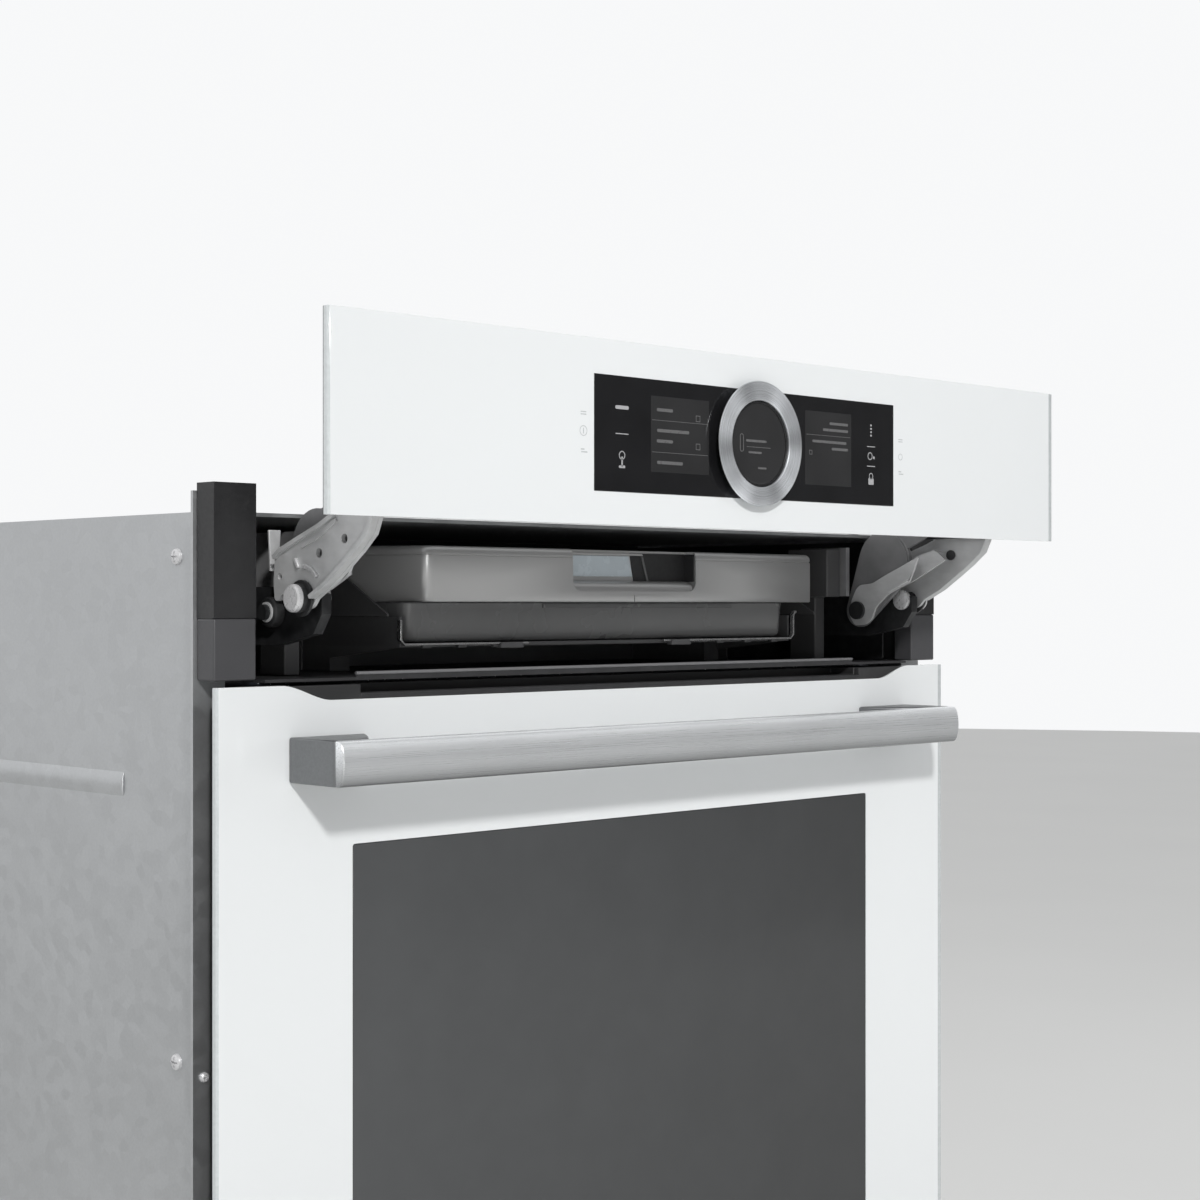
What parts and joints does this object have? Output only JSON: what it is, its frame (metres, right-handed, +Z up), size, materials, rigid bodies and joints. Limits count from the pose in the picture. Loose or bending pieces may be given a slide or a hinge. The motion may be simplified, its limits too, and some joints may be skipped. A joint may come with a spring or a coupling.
{
  "type": "wall oven",
  "caption": "Built-in wall oven with a white glass door, a bar handle and a motor-raised glass control panel that uncovers a pull-out water tank.",
  "frame": {"origin": "point on the underside of the base, midway across the front, 284.5 mm behind the door's front plane", "axes": "+X to the right seen from the front, +Y into the niche, +Z up"},
  "size_m": [0.594, 0.6453, 0.6733],
  "materials": {
    "zinc_sheet": "galvanised, spangled",
    "arm_steel": "zinc-plated pressed steel, satin",
    "dark_paint": "satin black paint",
    "filler_plastic": "fine grain, dark grey",
    "enamel": "glossy vitreous enamel with pale flecks",
    "wool": "mineral wool",
    "rubber": "silicone braid",
    "white_glass": "white back-printed glass, gloss",
    "black_glass": "black glass, gloss",
    "clear_glass": "clear tempered glass",
    "brushed_aluminium": "fine brushed, anodised",
    "chrome_wire": "bright",
    "heater_steel": "heat-tinted",
    "housing_plastic": "moulded, fine grain",
    "tank_plastic": "metallic grey, satin",
    "tank_lower": "smoked translucent grey",
    "terminal_plastic": "natural polyamide"
  },
  "bodies": {
    "chassis": {"chassis_base": "zinc_sheet", "side_panel_left": "zinc_sheet", "side_panel_right": "zinc_sheet", "back_panel": "zinc_sheet", "top_cover": "zinc_sheet", "front_frame": "enamel", "compartment_deck": "dark_paint", "side_filler_left": "filler_plastic", "side_filler_right": "filler_plastic", "door_hinge_left": "heater_steel", "door_hinge_right": "heater_steel", "terminal_block": "terminal_plastic", "cavity_liner": "enamel", "insulation_wrap": "wool", "door_gasket": "rubber", "fan_baffle": "enamel", "ring_heater": "heater_steel", "grill_heater": "heater_steel", "oven_lamp": "clear_glass", "fan_motor": "zinc_sheet", "side_rack_left": "chrome_wire", "side_rack_right": "chrome_wire", "wire_shelf": "chrome_wire", "baking_tray": "enamel", "blower_housing": "housing_plastic", "power_module": "housing_plastic", "steam_generator": "zinc_sheet", "guide_rail_left": "zinc_sheet", "guide_rail_right": "zinc_sheet", "lift_motor": "zinc_sheet", "tank_cradle": "housing_plastic"},
    "door": {"door_glass": "white_glass", "window_glass": "black_glass", "door_side_rail_left": "dark_paint", "door_side_rail_right": "dark_paint", "door_middle_glass": "clear_glass", "door_inner_glass": "clear_glass", "door_bottom_rail": "dark_paint", "door_top_trim": "dark_paint", "handle_bar": "brushed_aluminium", "handle_post_left": "brushed_aluminium", "handle_post_right": "brushed_aluminium"},
    "carriage": {"carriage_frame": "dark_paint"},
    "lift_arms": {"lift_arm_left": "arm_steel", "lift_arm_right": "arm_steel"},
    "rear_links": {"rear_link_left": "arm_steel", "rear_link_right": "arm_steel"},
    "panel": {"panel_glass": "white_glass", "display_window": "black_glass", "panel_housing": "housing_plastic", "panel_bracket_left": "dark_paint", "panel_bracket_right": "dark_paint", "dial_centre": "black_glass"},
    "dial": {"dial_ring": "brushed_aluminium"},
    "tank": {"tank_body": "tank_lower", "tank_lid": "tank_plastic"},
    "spindle": {"lift_spindle": "chrome_wire"},
    "fan": {"fan_impeller": "zinc_sheet"},
    "blower": {"blower_rotor": "housing_plastic"}
  },
  "joints": [
    {"name": "lift_slide", "type": "slide", "parent": "chassis", "child": "carriage", "axis": [0, -1, 0], "range_m": [-0.1074, 0]},
    {"name": "arm_pivot", "type": "hinge", "parent": "carriage", "child": "lift_arms", "pos_m": [0, -0.2935, 0.5385], "axis": [1, 0, 0], "range_deg": [-0.5, 68.06]},
    {"name": "link_pivot", "type": "hinge", "parent": "carriage", "child": "rear_links", "pos_m": [0, -0.2635, 0.5315], "axis": [1, 0, 0], "range_deg": [-0.5, 68.06]},
    {"name": "panel_pivot", "type": "hinge", "parent": "lift_arms", "child": "panel", "pos_m": [0, -0.3425, 0.5915], "axis": [1, 0, 0], "range_deg": [-68.06, 0.5]},
    {"name": "spindle_turn", "type": "hinge", "parent": "chassis", "child": "spindle", "pos_m": [0, -0.0045, 0.5305], "axis": [0, 1, 0], "range_deg": [-1289.8, 1]},
    {"name": "dial_turn", "type": "hinge", "parent": "panel", "child": "dial", "pos_m": [0, -0.3736, 0.6247], "axis": [0, -1, 0], "continuous": true},
    {"name": "door_hinge", "type": "hinge", "parent": "chassis", "child": "door", "pos_m": [0, -0.2685, 0.02], "axis": [1, 0, 0], "range_deg": [0, 90], "stiffness_Nm_per_rad": 7, "springref_deg": -28.65},
    {"name": "tank_slide", "type": "slide", "parent": "chassis", "child": "tank", "axis": [0, -1, 0], "range_m": [0, 0.105]},
    {"name": "fan_turn", "type": "hinge", "parent": "chassis", "child": "fan", "pos_m": [0, 0.1495, 0.25], "axis": [0, 1, 0], "continuous": true},
    {"name": "blower_turn", "type": "hinge", "parent": "chassis", "child": "blower", "pos_m": [-0.155, 0.1055, 0.53], "axis": [0, 0, 1], "continuous": true}
  ],
  "couplings": [
    {"joint": "arm_pivot", "follows": "lift_slide", "rad_per_m": -11.012},
    {"joint": "link_pivot", "follows": "lift_slide", "rad_per_m": -11.012},
    {"joint": "panel_pivot", "follows": "lift_slide", "rad_per_m": 11.012},
    {"joint": "spindle_turn", "follows": "lift_slide", "rad_per_m": 209.44}
  ]
}
